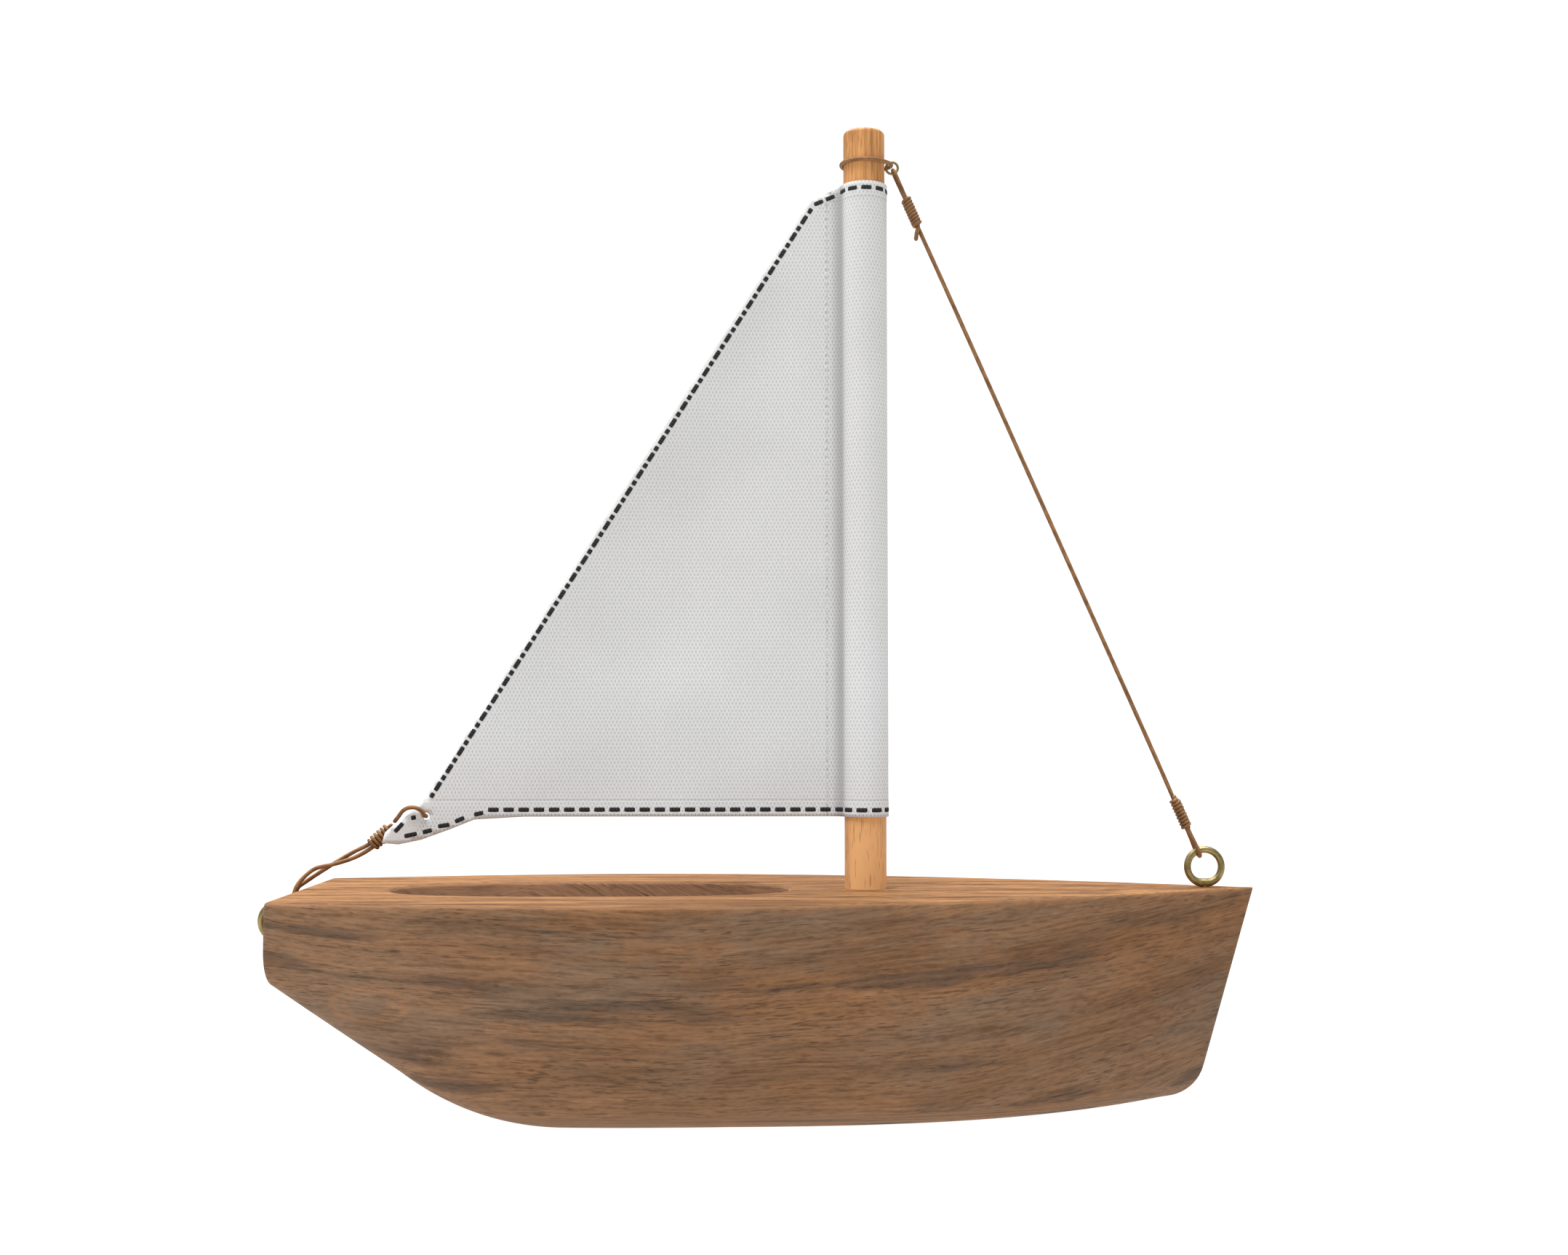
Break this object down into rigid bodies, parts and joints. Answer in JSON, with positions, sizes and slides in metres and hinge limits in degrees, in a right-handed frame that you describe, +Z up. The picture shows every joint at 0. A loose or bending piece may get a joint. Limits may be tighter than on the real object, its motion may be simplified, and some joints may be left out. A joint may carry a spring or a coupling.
{
  "type": "toy sailing boat",
  "caption": "Toy sailing boat: carved wooden hull with an open cockpit, dowel mast, canvas sail that swings on the mast, cord stay and sheet on brass screw eyes.",
  "frame": {"origin": "where the mast's axis meets the flat of the keel, which is the surface that the boat rests on", "axes": "+X to the bow, +Y to port, +Z up the mast; the hull is the same on both sides of the X-Z plane"},
  "size_m": [0.2834, 0.114, 0.2785],
  "materials": {
    "hull_wood": "oiled, satin",
    "mast_wood": "satin",
    "canvas": "matte woven",
    "black_thread": "matte",
    "white_thread": "matte",
    "brass": "satin, slightly tarnished",
    "leather_cord": "satin",
    "whipping_cord": "satin"
  },
  "bodies": {
    "hull": {"hull": "hull_wood", "mast": "mast_wood", "bow_eye": "brass", "stern_eye": "brass", "masthead_strop": "leather_cord", "masthead_ring": "brass", "forestay": "leather_cord", "forestay_upper_whipping": "whipping_cord", "forestay_lower_whipping": "whipping_cord", "mainsheet": "leather_cord", "mainsheet_whipping": "whipping_cord"},
    "sail": {"sail": "canvas", "head_stitching": "black_thread", "leech_stitching": "black_thread", "foot_stitching": "black_thread", "sleeve_stitching": "white_thread"}
  },
  "joints": [
    {"name": "sail_swing", "type": "hinge", "parent": "hull", "child": "sail", "pos_m": [0, 0, 0.171], "axis": [0, 0, 1], "range_deg": [-6, 6], "deforming": ["mainsheet", "mainsheet_whipping"]}
  ]
}
